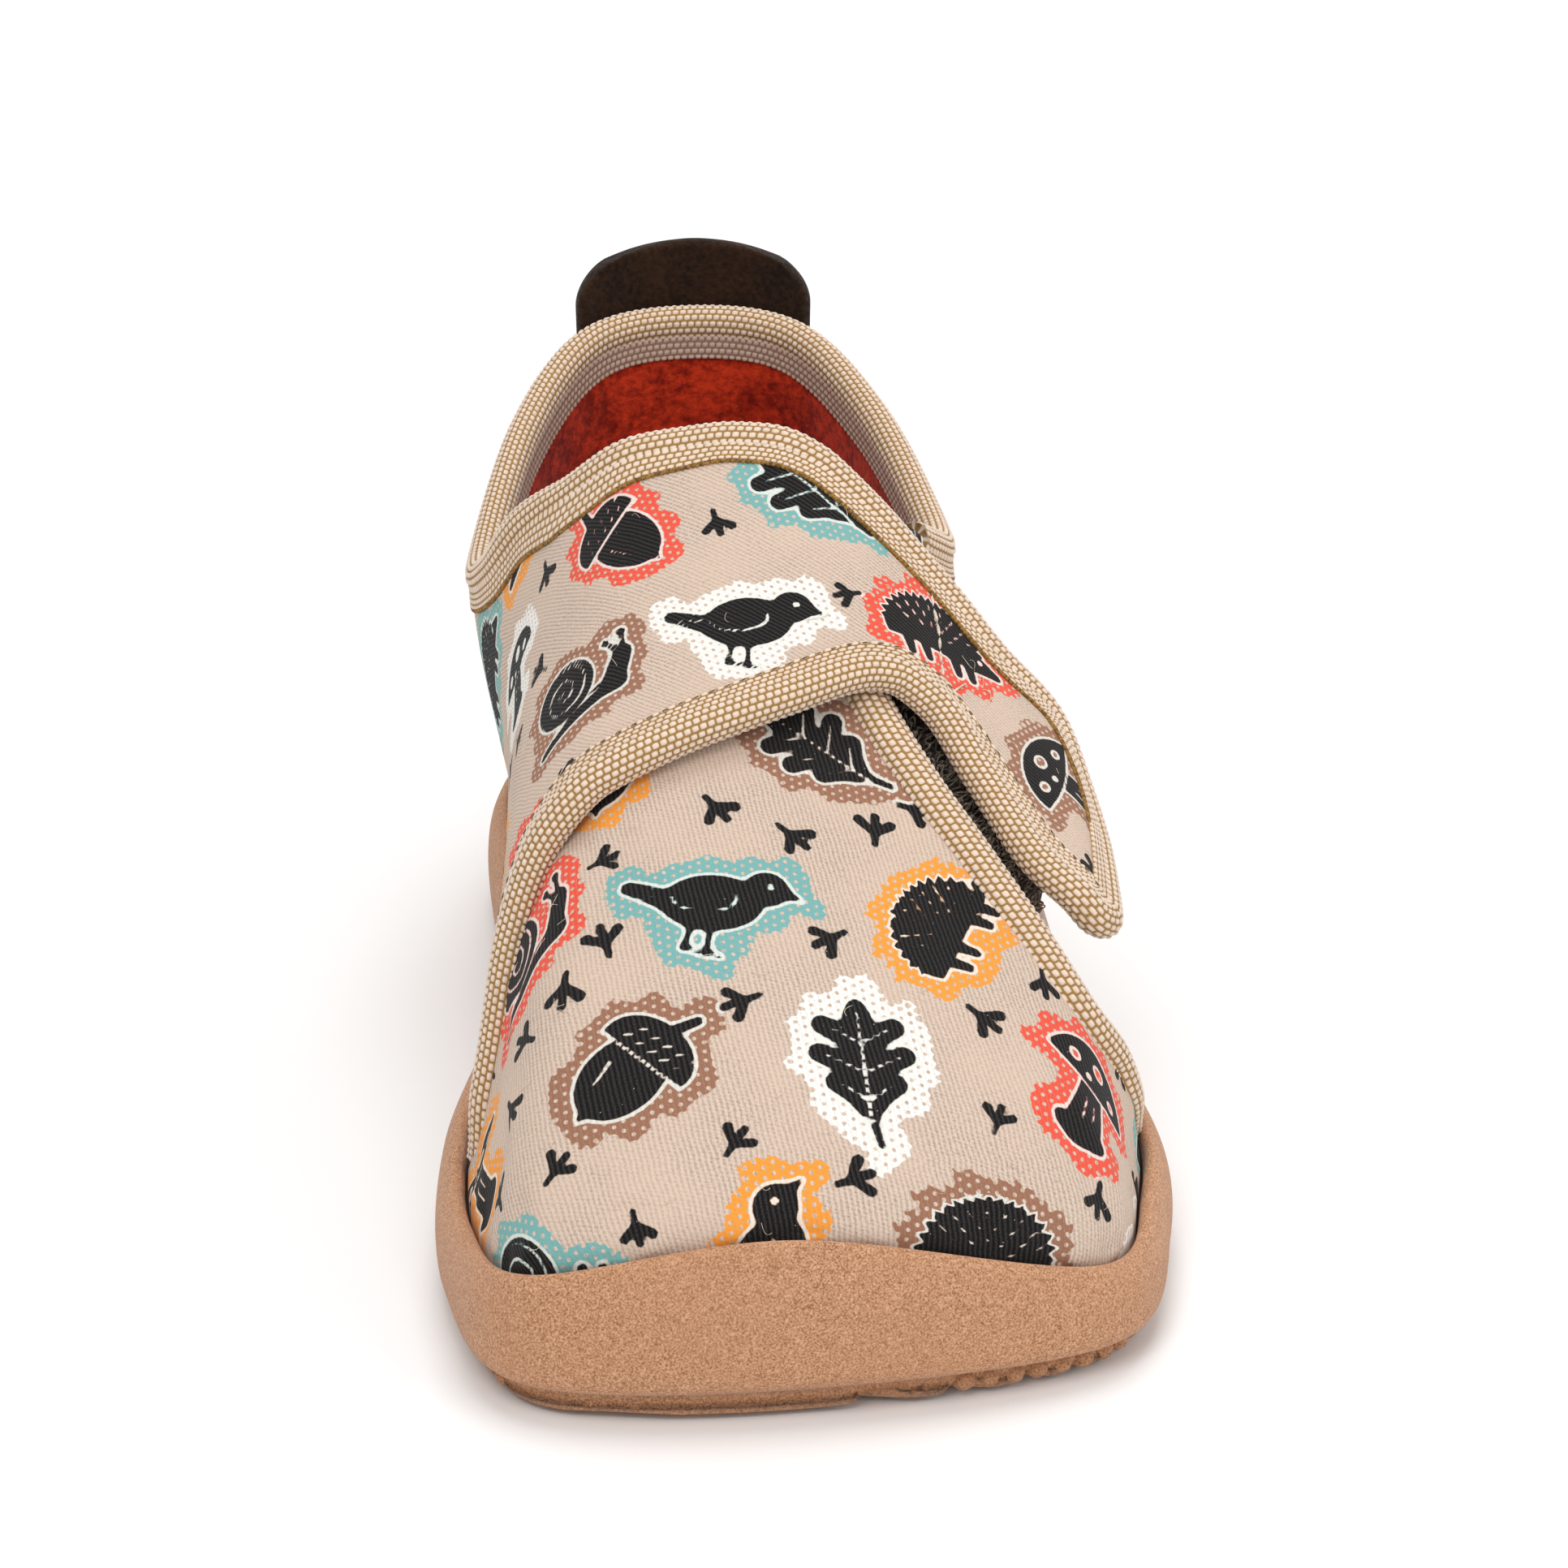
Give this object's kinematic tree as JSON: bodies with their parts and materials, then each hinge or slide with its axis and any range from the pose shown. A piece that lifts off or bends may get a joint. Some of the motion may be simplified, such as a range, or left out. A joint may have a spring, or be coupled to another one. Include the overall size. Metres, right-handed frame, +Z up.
{
  "type": "house slipper",
  "caption": "Toddler's house slipper with a cloth upper, one wide strap crossing the instep to hook and loop, bound edges, a heel tab and a soft cup sole with ribbed tread.",
  "frame": {"origin": "on the floor, under the middle of the sole's plan", "axes": "+Z up, -Y towards the toe, +X towards the outer side of this left shoe"},
  "size_m": [0.0708, 0.1482, 0.0696],
  "materials": {
    "tread": "matte ribbed rubber",
    "foam": "flocked, like suede",
    "felt": "napped felt",
    "twill": "printed cotton twill, felt lined",
    "tape": "coarsely woven binding tape",
    "suede": "napped",
    "pile": "loops and hooks"
  },
  "bodies": {
    "root": {"outsole": "tread", "midsole": "foam", "insole": "felt", "upper": "twill", "edge_binding": "tape", "vamp_binding": "tape", "heel_tab": "suede", "loop_pad": "pile", "hook_pad": "pile"}
  },
  "joints": []
}
